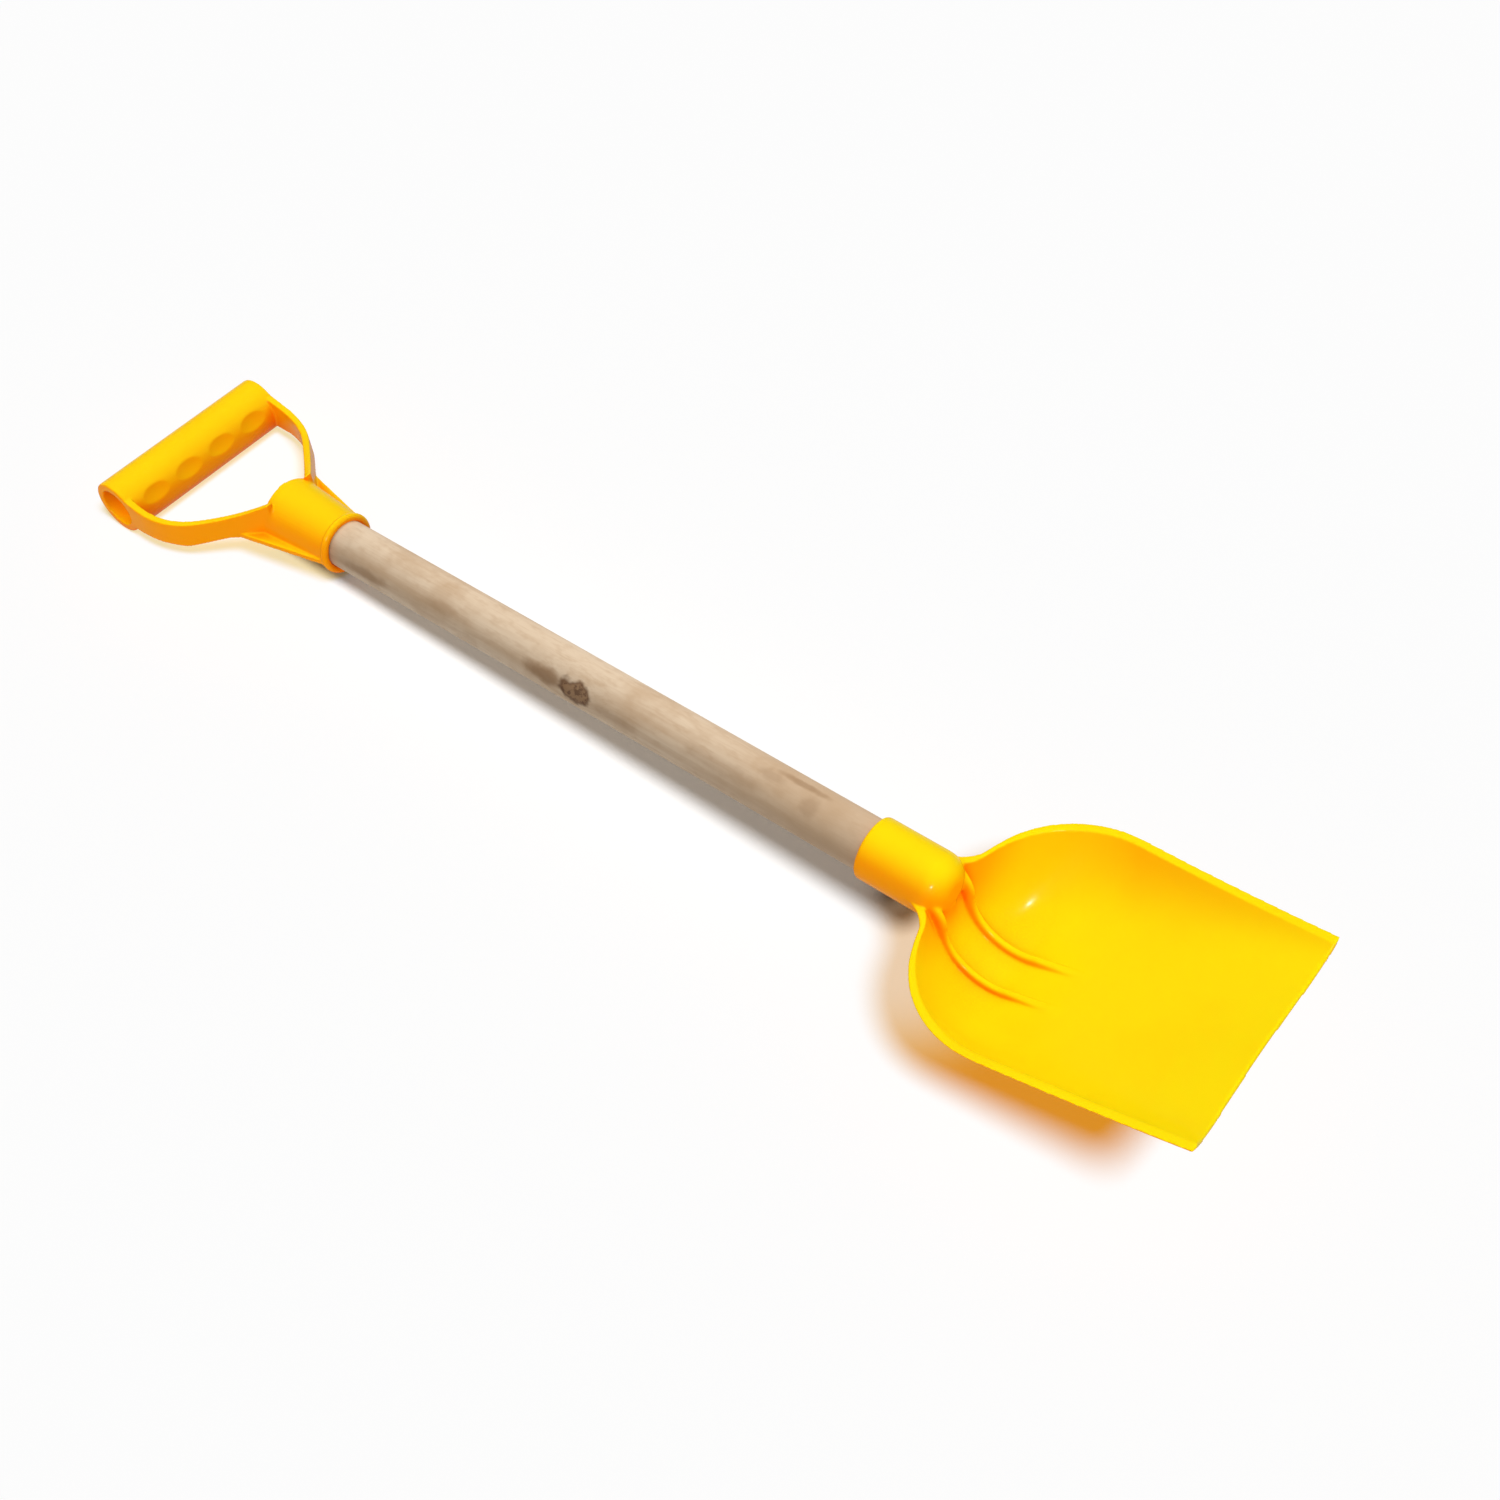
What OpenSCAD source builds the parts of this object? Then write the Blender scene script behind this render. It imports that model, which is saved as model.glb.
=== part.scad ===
// Sand shovel for a child: moulded D-handle, round wooden shaft and moulded scoop blade.
// Everything is drawn along the shaft's axis, with x = 0 at the handle's socket mouth and the
// blade towards +x, and is then laid face up on the ground, where grip and heel carry it.

/* [Shaft] */
// Diameter of the wooden shaft
shaft_d = 24; // [20:0.5:28]
// Bare wood between the two sockets
shaft_bare_l = 312.5; // [200:1:420]
// Chamfer on the shaft's ends
shaft_chamfer = 1.2; // [0.5:0.1:2]

/* [Sockets] */
// Wall of both sockets
socket_wall = 2.2; // [1.8:0.1:3]
// Gap round the shaft and the screws
fit_gap = 0.15; // [0.1:0.01:0.25]
// Wall that closes each socket
socket_end_wall = 5; // [3:0.5:8]
// Length of the handle's socket
handle_socket_l = 41.5; // [34:0.5:50]
// Length of the blade's socket
blade_socket_l = 40.5; // [34:0.5:46]

/* [D-handle] */
// Distance from the socket's mouth to the grip's axis
grip_reach = 116.5; // [105:1:130]
// Length of the grip over both straps
grip_l = 98; // [84:1:110]
// Diameter of the grip
grip_d = 28; // [25:0.5:32]
// Diameter of the hole through the grip
grip_bore_d = 20; // [14:0.5:21]
// Rounding of the grip's ends
grip_round = 0.8; // [0.5:0.1:2]
// Number of finger hollows
finger_count = 4; // [3:1:4]
// Distance between finger hollows
finger_pitch = 21.5; // [18:0.5:22]
// Depth of a finger hollow
finger_depth = 1.1; // [0.8:0.1:1.6]
// Radius of a finger hollow
finger_r = 30; // [16:0.5:36]
// Turn of the finger hollows above the grip's inner side
finger_turn = 20; // [0:1:40]
// Thickness of the strap
strap_t = 3.6; // [2.5:0.1:5]
// Straight run of the strap beside the grip
strap_run = 18; // [15:0.5:22]
// Bend radius of the strap
strap_bend_r = 50; // [40:1:60]
// Height of the strap above the shaft's axis, at its lowest
strap_top = 5.8; // [4:0.1:8]
// Depth of the strap below the shaft's axis
strap_bottom = 8; // [6:0.1:10]
// Radius of the strap's hollowed upper edge
strap_hollow_r = 92; // [80:1:120]
// Distance from the grip's axis to the strap's lowest point
strap_dip = 36; // [30:1:42]
// Growth of the socket's radius towards the D
crown_flare = 3.4; // [2:0.1:4.5]
// Thickness of the side webs
web_t = 3; // [2:0.1:4]
// Distance from the mouth to where the webs leave the straps
web_l = 55; // [50:0.5:60]
// Radius of the bead round the mouth
bead_r = 1.4; // [1:0.1:2.4]

/* [Blade] */
// Distance from the socket's mouth to the front corners
blade_l = 176.5; // [160:1:195]
// Greatest width, at the shoulders
blade_w = 126.5; // [120:1:140]
// Width between the front corners
blade_front_w = 111; // [100:1:118]
// Distance from the socket's mouth to the middle of the shoulder arcs
shoulder_x = 86; // [82:1:92]
// Radius of the shoulders
shoulder_r = 47; // [42:1:52]
// Radius where the shoulders run into the socket
neck_r = 17; // [14:0.5:22]
// Radius of the front corners
corner_r = 1.5; // [1:0.5:8]
// Depth of the front edge's curve
front_hollow = 2.2; // [0:0.1:5]
// Height of the rim above the shaft's axis at the socket
rim_back_z = 1.5; // [0:0.1:4]
// Height of the front corners above the shaft's axis
rim_front_z = 22; // [16:0.5:26]
// Radius of the heel inside the scoop
heel_r = 24; // [20:0.5:28]
// Height of the scoop's upright back wall above the heel
back_wall_h = 4; // [2:0.5:6]
// Depth of the scoop below the shaft's axis
heel_depth = 34.5; // [30:0.5:38]
// Slope of the scoop's floor
floor_slope = 24.5; // [22:0.5:26]
// Thickness of the scoop's shell
shell_t = 2.2; // [1.6:0.1:2.6]
// Width of the lip round the rim
lip_w = 4; // [3.4:0.1:5.5]
// Thickness of the lip
lip_t = 2.2; // [1.8:0.1:3]
// Inward lean of the lip's outer face
lip_lean = 1.3; // [0:0.1:1.6]
// Distance between the two stiffening ribs
rib_spacing = 20; // [14:0.2:24]
// Thickness of a rib
rib_t = 3.6; // [2:0.1:4.5]
// Height of a rib over the floor
rib_h = 3.2; // [1.5:0.1:4]
// Length of a rib along the heel and floor
rib_l = 76; // [60:1:90]
// Height of a rib's upright start on the socket's end
rib_up = 14.5; // [8:0.5:15]

/* [Screws] */
// Shank diameter of the two screws
screw_d = 3.2; // [2.5:0.1:4]
// Head diameter
screw_head_d = 6.4; // [5:0.1:8]
// Length of a screw
screw_l = 14; // [10:0.5:18]
// Diameter of the pad that takes the screw's head
pad_d = 10; // [9:0.5:12]
// Height of the pad below the socket
pad_h = 1; // [0.8:0.1:1.4]
// Distance from each socket's mouth to its screw
screw_inset = 16; // [12:0.5:20]

/* [Hidden] */
$fn = 64;

// How far cutting shapes run past the faces they cut
overrun = 2;
// Powers of the scoop's cross-section at the heel and at the front edge, and of the rim's rise
heel_power_share = 2.6;
front_power_share = 6;
rim_power_share = 1.6;
// Part of a rib's length over which its front end fades into the floor
rib_fade_share = 0.35;
// Part of the shell's thickness to which a rib is rooted in it
rib_root_share = 0.5;
// Rounding of the blade's socket at its closed end, as a part of its radius
dome_share = 0.7;
// Distance of the bead's middle from the handle's mouth, as a part of the bead's radius
bead_back_share = 1.3;
// Part of the bead's radius to which the webs reach out over the socket
web_reach_share = 0.7;
// Steps of the scoop's surface along the rim and from the middle to the rim
rim_steps = 52;
cross_steps = 11;
rib_steps = 24;
// Steps of the strap's bend
bend_steps = 14;
// Step for measuring the surface's slope, as a part of the whole way
slope_step_share = 0.002;

shaft_r = shaft_d / 2;
bore_r = shaft_r + fit_gap;
socket_r = bore_r + socket_wall;
socket_d = 2 * socket_r;
handle_seat = handle_socket_l - socket_end_wall;
blade_seat = blade_socket_l - socket_end_wall;
grip_r = grip_d / 2;
grip_bore_r = grip_bore_d / 2;

// Middle line of a strap, measured from the grip's axis: its slanting run ends over the socket's bore
strap_y = grip_l / 2 - strap_t / 2;
strap_foot = [grip_reach - handle_seat, bore_r];
strap_bend_c = [strap_run, strap_y - strap_bend_r];
to_foot = strap_foot - strap_bend_c;
strap_turn = atan2(to_foot.x, to_foot.y) - acos(strap_bend_r / norm(to_foot));

// Plan of the rim: neck fillet, shoulder arc and straight taper to the front corner
shoulder_y = blade_w / 2 - shoulder_r;
shoulder_c = [shoulder_x, shoulder_y];
front_corner = [blade_l, blade_front_w / 2];
to_corner = front_corner - shoulder_c;
taper_angle = atan2(to_corner.y, to_corner.x) + acos(shoulder_r / norm(to_corner));
taper_start = on_arc(shoulder_c, shoulder_r, taper_angle);
neck_y = socket_r + neck_r;
neck_x = shoulder_x - sqrt(pow(shoulder_r + neck_r, 2) - pow(neck_y - shoulder_y, 2));
neck_c = [neck_x, neck_y];
join_angle = atan2(neck_y - shoulder_y, neck_x - shoulder_x);
neck_len = arc_length(neck_r, join_angle - 90);
shoulder_len = arc_length(shoulder_r, join_angle - taper_angle);
taper_len = norm(front_corner - taper_start);
rim_len = neck_len + shoulder_len + taper_len;

// Side view of the middle of the scoop: back wall, heel arc, then a straight floor to the front edge
heel_c = [blade_socket_l + heel_r, heel_r - heel_depth];
heel_end_angle = 270 + floor_slope;
heel_end = on_arc(heel_c, heel_r, heel_end_angle);
heel_len = arc_length(heel_r, heel_end_angle - 180);
floor_len = (blade_l - front_hollow - heel_end.x) / cos(floor_slope);
spine_len = back_wall_h + heel_len + floor_len;

// Front corner rounding: its middle lies one radius in from the taper and from the front edge
corner_back = corner_r * (1 - cos(taper_angle)) / sin(taper_angle);
corner_c = front_corner - corner_back * [sin(taper_angle), -cos(taper_angle)]
    - corner_r * [cos(taper_angle), sin(taper_angle)];

// Ground under the grip and the heel, and the middle of the whole length
ground_run = [shaft_bare_l + heel_c.x + grip_reach, heel_c.y];
ground_pitch = atan2(ground_run.y, ground_run.x) - asin((heel_r + shell_t - grip_r) / norm(ground_run));
ground_lift = grip_r - grip_reach * sin(ground_pitch);
tail_x = -grip_reach * cos(ground_pitch) - grip_r;
nose_x = max([for (p = shell_loop(1)) (shaft_bare_l + p.x) * cos(ground_pitch) + p.z * sin(ground_pitch)]);

function arc_length(r, angle) = r * angle * PI / 180;
function arc_angle(r, length) = length * 180 / (r * PI);
function on_arc(c, r, angle) = c + r * [cos(angle), sin(angle)];

// Rim outline in plan, at a distance from the socket
function rim_plan(d) =
    d < neck_len ? on_arc(neck_c, neck_r, arc_angle(neck_r, d) - 90)
    : d < neck_len + shoulder_len
    ? on_arc(shoulder_c, shoulder_r, join_angle - arc_angle(shoulder_r, d - neck_len))
    : taper_start + (d - neck_len - shoulder_len) * [sin(taper_angle), -cos(taper_angle)];

function rim_z(x) =
    rim_back_z + (rim_front_z - rim_back_z) * pow(max(0, x - neck_x) / (blade_l - neck_x), rim_power_share);

// Middle of the scoop in side view, at a distance from the top of the heel, with an upright start above it
function spine(d) =
    d < 0 ? heel_c - [heel_r, d]
    : d < heel_len ? on_arc(heel_c, heel_r, 180 + arc_angle(heel_r, d))
    : heel_end + (d - heel_len) * [cos(floor_slope), sin(floor_slope)];

// Direction square to the spine, pointing into the scoop
function spine_up(d) =
    let (turned = arc_angle(heel_r, min(heel_len, max(0, d))))
    [cos(turned), sin(turned)];

function rim_point(t) = let (p = rim_plan(t * rim_len)) [p.x, p.y, rim_z(p.x)];

function spine_point(t) = let (q = spine(t * spine_len - back_wall_h)) [q.x, 0, q.y];

// Point on the lip's level, a given width in from the rim towards the middle
function lip_inner(t, width) =
    let (p = rim_point(t), q = spine_point(t), inward = [q.x - p.x, q.y - p.y, 0])
    p + width * inward / norm(inward);

// Upper face of the scoop: v runs from the middle (0) to the lip (1, or -1 on the other side)
function scoop(t, v) =
    let (
        q = spine_point(t),
        e = lip_inner(t, lip_w),
        power = heel_power_share + (front_power_share - heel_power_share) * t
    )
    [q.x + (e.x - q.x) * v * v, e.y * v, q.z + (e.z - q.z) * pow(abs(v), power)];

function scoop_normal(t, v) =
    let (
        along = scoop(min(1, t + slope_step_share), v) - scoop(max(0, t - slope_step_share), v),
        across = scoop(t, min(1, v + slope_step_share)) - scoop(t, max(-1, v - slope_step_share)),
        square_to = cross(along, across)
    )
    square_to / norm(square_to);

function mirrored(p) = [p.x, -p.y, p.z];

// Steps from lip to lip, closer together where the walls turn steep
function cross_at(i) = sin(90 * i / cross_steps);

// One closed loop of the shell: upper face, lip, lower face and lip again
function shell_loop(t) =
    let (edge = rim_point(t), below = lip_inner(t, lip_lean) - [0, 0, lip_t])
    concat(
        [mirrored(edge)],
        [for (i = [-cross_steps:cross_steps]) scoop(t, cross_at(i))],
        [edge, below],
        [for (i = [cross_steps:-1:-cross_steps])
            scoop(t, cross_at(i)) - shell_t * scoop_normal(t, cross_at(i))],
        [mirrored(below)]
    );

module scoop_shell() {
    loop = 4 * cross_steps + 6;
    half = loop / 2;
    points = [for (k = [0:rim_steps]) each shell_loop(k / rim_steps)];
    skin = [for (k = [0:rim_steps - 1], i = [0:loop - 1])
        let (a = k * loop + i, b = k * loop + (i + 1) % loop)
        each [[a, b, b + loop], [a, b + loop, a + loop]]];
    last = rim_steps * loop;
    back_cap = [for (i = [0:half - 2])
        let (a = i, b = i + 1, c = loop - 2 - i, d = loop - 1 - i)
        each [[a, c, b], [a, d, c]]];
    front_cap = [for (i = [0:half - 2])
        let (a = last + i, b = last + i + 1, c = last + loop - 2 - i, d = last + loop - 1 - i)
        each [[a, b, c], [a, c, d]]];
    polyhedron(points, concat(skin, back_cap, front_cap), convexity = 6);
}

// What is taken off a square front corner to round it
module corner_cut() {
    translate([corner_c.x, corner_c.y, -heel_depth])
        linear_extrude(2 * heel_depth + rim_front_z)
            difference() {
                square(2 * corner_r);
                circle(corner_r);
            }
}

// Side view of a rib: its top grows out of the socket's end, follows the spine and sinks into the floor,
// and its root follows the shell underneath
module rib() {
    y = rib_spacing / 2;
    fade = rib_l * rib_fade_share;
    root = shell_t * rib_root_share;
    function height(d) = (rib_h + root) * min(1, (d + rib_up) / rib_up, (rib_l - d) / fade) - root;
    function top_point(d) = spine(d) + height(d) * spine_up(d);
    function root_point(t) =
        let (v = y / lip_inner(t, lip_w).y, p = scoop(t, v) - root * scoop_normal(t, v))
        [p.x, p.z];
    top = [for (i = [0:rib_steps]) top_point((rib_l + rib_up) * i / rib_steps - rib_up)];
    bottom = [for (i = [rib_steps:-1:0]) root_point((back_wall_h + rib_l) / spine_len * i / rib_steps)];
    rotate([90, 0, 0])
        linear_extrude(rib_t, center = true)
            polygon(concat(top, bottom));
}

// Round bar along x with a rounded far end
module domed_bar(r, l, round_r) {
    rotate([90, 0, 90])
        rotate_extrude() {
            square([r, l - round_r]);
            square([r - round_r, l]);
            intersection() {
                square([r, l]);
                translate([r - round_r, l - round_r])
                    circle(round_r);
            }
        }
}

// Hole or bar along x from a mouth at x = 0
module along_x(r, l) {
    rotate([0, 90, 0])
        cylinder(h = l, r = r);
}

// Pad under a socket that takes a screw's head
module screw_pad(x) {
    translate([x, 0, -socket_r - pad_h])
        cylinder(h = pad_h + socket_r, d = pad_d);
}

// Countersunk screw pointing up, or the hole for it when it is swollen by a gap
module screw_form(gap) {
    head_h = (screw_head_d - screw_d) / 2;
    cylinder(h = head_h, d1 = screw_head_d + 2 * gap, d2 = screw_d + 2 * gap);
    cylinder(h = screw_l - screw_d, d = screw_d + 2 * gap);
    translate([0, 0, screw_l - screw_d])
        cylinder(h = screw_d + gap, d1 = screw_d + 2 * gap, d2 = 0);
}

// Puts its children at the seat of each screw
module at_screws() {
    for (x = [-screw_inset, shaft_bare_l + screw_inset])
        translate([x, 0, -socket_r - pad_h])
            children();
}

// Lays the shovel on the ground with its middle over the origin
module lay_down() {
    translate([-(tail_x + nose_x) / 2, 0, ground_lift])
        rotate([0, ground_pitch, 0])
            children();
}

module grip_tube() {
    straight = grip_l / 2 - grip_round;
    rotate([90, 0, 0])
        rotate_extrude() {
            translate([0, -straight])
                square([grip_r, 2 * straight]);
            translate([0, -grip_l / 2])
                square([grip_r - grip_round, grip_l]);
            for (side = [-1, 1])
                translate([grip_r - grip_round, side * straight])
                    circle(grip_round);
        }
}

module finger_hollows() {
    first = -(finger_count - 1) / 2 * finger_pitch;
    for (i = [0:finger_count - 1])
        rotate([0, -finger_turn, 0])
            translate([grip_r - finger_depth + finger_r, first + i * finger_pitch, 0])
                sphere(finger_r);
}

// Place on the strap's bend, at a radius and a turn from the straight run
function strap_bend(r, turn) = strap_bend_c + r * [sin(turn), cos(turn)];

// Plan of one strap, measured from the grip's axis: straight run, bend and slanting run
module strap_plan() {
    slant = strap_foot - strap_bend(strap_bend_r, strap_turn);
    function edge(r) = concat(
        [strap_bend_c + [-strap_run, r]],
        [for (i = [0:bend_steps]) strap_bend(r, strap_turn * i / bend_steps)],
        [strap_bend(r, strap_turn) + slant]
    );
    inner = edge(strap_bend_r - strap_t / 2);
    polygon(concat(edge(strap_bend_r + strap_t / 2), [for (i = [len(inner) - 1:-1:0]) inner[i]]));
}

// Side view of the straps, measured from the grip's axis: hollowed above, rising to the webs below
module strap_side() {
    far_x = strap_foot.x;
    web_x = grip_reach - web_l;
    difference() {
        polygon([
            [0, -strap_bottom],
            [web_x - strap_run, -strap_bottom],
            [web_x, -web_t],
            [far_x, -web_t],
            [far_x, socket_r + crown_flare],
            [0, socket_r + crown_flare]
        ]);
        translate([strap_dip, strap_top + strap_hollow_r])
            circle(strap_hollow_r);
    }
}

module straps() {
    intersection() {
        for (side = [0, 1])
            mirror([0, side, 0])
                translate([0, 0, -strap_bottom])
                    linear_extrude(strap_bottom + socket_r + crown_flare)
                        strap_plan();
        rotate([90, 0, 0])
            linear_extrude(grip_l + overrun, center = true)
                strap_side();
    }
}

// Flat webs that brace the straps against the socket's mouth, with their tops at the shaft's axis
module webs() {
    web_foot = strap_foot - [grip_reach, 0];
    web_back = web_foot + (web_l - handle_seat) * [-1, tan(strap_turn)];
    half_mouth = socket_r + bead_r * web_reach_share;
    translate([0, 0, -web_t])
        linear_extrude(web_t)
            polygon([
                web_back,
                [-bead_r, half_mouth],
                [-bead_r, -half_mouth],
                mirror_y(web_back),
                mirror_y(web_foot),
                web_foot
            ]);
}

function mirror_y(p) = [p.x, -p.y];

// Handle's socket: a round tube whose upper side flares towards the D, down to the webs
module handle_socket() {
    translate([-handle_socket_l, 0, 0]) {
        along_x(socket_r, handle_socket_l);
        intersection() {
            rotate([0, 90, 0])
                cylinder(h = handle_socket_l, r1 = socket_r + crown_flare, r2 = socket_r);
            translate([-overrun, -socket_d, -web_t])
                cube([handle_socket_l + 2 * overrun, 2 * socket_d, socket_d]);
        }
    }
    translate([-bead_r * bead_back_share, 0, 0])
        rotate([0, 90, 0])
            rotate_extrude()
                translate([socket_r, 0])
                    circle(bead_r);
}

module d_handle() {
    color("gold")
        difference() {
            union() {
                handle_socket();
                screw_pad(-screw_inset);
                webs();
                translate([-grip_reach, 0, 0]) {
                    straps();
                    difference() {
                        grip_tube();
                        finger_hollows();
                    }
                }
            }
            translate([-handle_seat, 0, 0])
                along_x(bore_r, handle_seat + overrun);
            translate([-grip_reach, 0, 0])
                rotate([90, 0, 0])
                    cylinder(h = grip_l + overrun, r = grip_bore_r, center = true);
            at_screws()
                screw_form(fit_gap);
        }
}

module shaft() {
    total = handle_seat + shaft_bare_l + blade_seat;
    color("tan")
        difference() {
            translate([-handle_seat, 0, 0])
                rotate([90, 0, 90])
                    rotate_extrude()
                        polygon([
                            [0, 0],
                            [shaft_r - shaft_chamfer, 0],
                            [shaft_r, shaft_chamfer],
                            [shaft_r, total - shaft_chamfer],
                            [shaft_r - shaft_chamfer, total],
                            [0, total]
                        ]);
            at_screws()
                screw_form(fit_gap);
        }
}

module blade() {
    color("yellow")
        difference() {
            translate([shaft_bare_l, 0, 0]) {
                domed_bar(socket_r, blade_socket_l, socket_r * dome_share);
                screw_pad(screw_inset);
                difference() {
                    scoop_shell();
                    for (side = [0, 1])
                        mirror([0, side, 0])
                            corner_cut();
                }
                for (side = [-1, 1])
                    translate([0, side * rib_spacing / 2, 0])
                        rib();
            }
            translate([shaft_bare_l - overrun, 0, 0])
                along_x(bore_r, blade_seat + overrun);
            at_screws()
                screw_form(fit_gap);
        }
}

module screws() {
    color("silver")
        at_screws()
            screw_form(0);
}

lay_down() d_handle();
lay_down() shaft();
lay_down() blade();
lay_down() screws();
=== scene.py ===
"""Looks of the sand shovel: yellow plastic, a pale wooden shaft and plated screws on a white floor."""
import math

import bmesh
import bpy
import numpy as np
from mathutils import Matrix, Vector


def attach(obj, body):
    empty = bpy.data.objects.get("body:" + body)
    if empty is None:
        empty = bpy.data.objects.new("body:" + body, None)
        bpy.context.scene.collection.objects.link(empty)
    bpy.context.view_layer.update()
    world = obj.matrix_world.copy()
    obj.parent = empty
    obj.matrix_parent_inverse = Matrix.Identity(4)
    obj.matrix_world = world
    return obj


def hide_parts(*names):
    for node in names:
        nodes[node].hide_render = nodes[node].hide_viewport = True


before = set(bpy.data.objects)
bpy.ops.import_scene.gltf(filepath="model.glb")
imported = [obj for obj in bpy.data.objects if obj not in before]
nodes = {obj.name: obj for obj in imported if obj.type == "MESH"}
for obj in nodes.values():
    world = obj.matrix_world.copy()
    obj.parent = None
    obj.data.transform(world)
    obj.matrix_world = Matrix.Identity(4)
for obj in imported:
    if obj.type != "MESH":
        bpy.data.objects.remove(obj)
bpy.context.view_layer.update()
scene = bpy.context.scene

# Lengths are given in millimetres, and this takes them to the frame's metres
MM = 0.001

# Camera, worked out from the photograph: place, direction, roll and lens
EYE = Vector((373.76, -363.88, 656.29)) * MM
AIM = Vector((44.93, 29.56, 0.0)) * MM
CAMERA_ROLL = math.radians(-2.223)
LENS = 44.16
SENSOR = 36.0

# Light: each lamp shines only on its own group of pieces, as screens and flags make it do in a studio
MIRRORED_SHARE = 0.1
OVERHEAD = Vector((0.0, 0.0, 1.0))
FROM_BEHIND = Vector((-0.2, 0.35, 1.0))
FROM_FRONT = Vector((0.55, -0.75, 0.45))
FROM_RIGHT = Vector((0.5, -0.12, 1.0))
SPARK = Vector((0.530, -0.658, 0.535))
LAMPS = {
    "plastic_dome": {"on": "plastic", "strength": 1.13, "source": OVERHEAD, "spread": math.pi},
    "plastic_sun": {"on": "plastic", "strength": 1.85, "source": FROM_BEHIND, "spread": 0.7},
    "plastic_fill": {"on": "plastic", "strength": 1.6, "source": FROM_FRONT, "spread": 1.0},
    "plastic_spark": {"on": "plastic", "strength": 2.2, "source": SPARK, "spread": 0.03},
    "wood_dome": {"on": "wood", "strength": 1.35, "source": OVERHEAD, "spread": math.pi},
    "wood_sun": {"on": "wood", "strength": 1.85, "source": FROM_BEHIND, "spread": 0.7},
    "floor_sun": {"on": "floor", "strength": 3.45, "source": FROM_RIGHT, "spread": 0.33},
}
FLOOR_SIZE = 6000.0

# Colours, linear
WHITE = (1.0, 1.0, 1.0, 1.0)
BLACK = (0.0, 0.0, 0.0, 1.0)
YELLOW_BLADE = (0.98, 0.72, 0.003, 1.0)
# The handle's yellow is the same plastic as the blade's, painted oranger as shade for the dimmer light on
# the handle
HANDLE_YELLOW_PAINTED_SHADE = (0.98, 0.62, 0.004, 1.0)
# Orange of painted shade on the plastic, and the tone of its random clouds
ORANGE_SHADE_AND_CLOUDS = (0.98, 0.325, 0.001, 1.0)
# Deeper orange of painted shade in closed-in places
ORANGE_DEEP_SHADE = (0.9, 0.15, 0.001, 1.0)
WOOD_PALE = (0.83, 0.645, 0.455, 1.0)
WOOD_DARK = (0.60, 0.40, 0.235, 1.0)
KNOT_DARK = (0.14, 0.058, 0.02, 1.0)
KNOT_PALE = (0.34, 0.185, 0.085, 1.0)
STEEL = (0.56, 0.56, 0.58, 1.0)
FLOOR = (0.55, 0.55, 0.55, 1.0)

# Tints of shadows: what each surface of the plastic and the shaft lets by
HANDLE_GLOW = (0.9, 0.84, 0.65, 1.0)
SOCKET_GLOW = WHITE
HEEL_GLOW = (0.89, 0.78, 0.65, 1.0)
BLADE_GLOW = (0.81, 0.51, 0.13, 1.0)
SHAFT_GLOW = (0.46, 0.44, 0.415, 1.0)

# Stretches along the shovel, from the frame's middle, over which the plastic changes
HANDLE_TO_SOCKET = (60.0, 120.0)
SOCKET_TO_HEEL = (152.0, 170.0)
SOCKET_TO_SCOOP = (168.0, 185.0)
HEEL_TO_BLADE = (180.0, 235.0)

# Plastic: painted shade turns it from yellow to orange on faces that point away from a direction or are
# closed in.
# Shares of four are those of a ramp: from, to, and its values there. Noise is scale, detail and roughness.
PAINTED_LIGHT_FROM = (0.12, 0.22, 0.82)
PAINTED_LIGHT_SHARES = (-0.2, 0.6)
OFF_SCOOP_SHADE_SHARE = 0.3
CLOSED_REACH = 20.0
CLOSED_SAMPLES = 8
OPEN_SHARES = (0.25, 0.88)
DEEP_SHADE_SHARES = (0.35, 0.82, 0.9, 0.0)
DOWNWARD_SHARES = (-0.3, 0.0)
BOUNCE_LOSS_SHARE = 0.75
PLASTIC_CLOUDS = (30.0, 2.0, 0.5)
PLASTIC_CLOUD_SHARES = (0.4, 0.8, 0.0, 0.08)
PLASTIC_PEEL = (700.0, 1.0, 0.4)
PEEL_SHARE = 0.03
PLASTIC_WAVES = (90.0, 1.0, 0.4)
PLASTIC_BUMP_SHARE = 0.05
PLASTIC_BUMP_DEPTH = 0.4
PLASTIC_SCUFFS = (260.0, 4.0, 0.65)
PLASTIC_ROUGH_SHARES = (0.3, 0.8, 0.15, 0.25)
PLASTIC_IOR = 1.48
PLASTIC_GLOSS_SHARE = 0.05
SUBSURFACE_SHARE = 0.3
SUBSURFACE_REACH = Vector((2.0, 1.2, 0.2))

# Wood: patterns, how each is stretched along the shaft, and how far each darkens it
GRAIN = (1.0, 5.0, 0.6)
GRAIN_STRETCH = (9.0, 130.0, 130.0)
GRAIN_SHARES = (0.38, 0.72, 0.0, 0.7)
FIBRES = (1.0, 3.0, 0.6)
FIBRE_STRETCH = (60.0, 1400.0, 1400.0)
FIBRE_SHARES = (0.45, 0.8, 0.0, 0.3)
MOTTLE = (1.0, 2.0, 0.6)
MOTTLE_STRETCH = (110.0, 260.0, 260.0)
MOTTLE_SHARES = (0.45, 0.75, 0.0, 0.4)
WOOD_CLOUDS = (45.0, 3.0, 0.6)
WOOD_CLOUD_SHARES = (0.42, 0.72, 0.0, 0.55)
BLADE_END = (200.0, 290.0)
BLADE_END_SHARE = 0.6
FIBRE_BUMP_SHARE = 0.6
GRAIN_BUMP_SHARE = 0.4
WOOD_BUMP_SHARE = 0.25
WOOD_BUMP_DEPTH = 0.3
WOOD_ROUGH_SHARES = (0.3, 0.8, 0.5, 0.66)
WOOD_GLOSS_SHARE = 0.25

# Spots on the shaft: place along it, degrees from its top to the near side, half length, half width
KNOT = (157.5, 65.0, 9.5, 6.0)
KNOT_TAIL = (140.0, 64.0, 13.0, 4.5)
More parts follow.
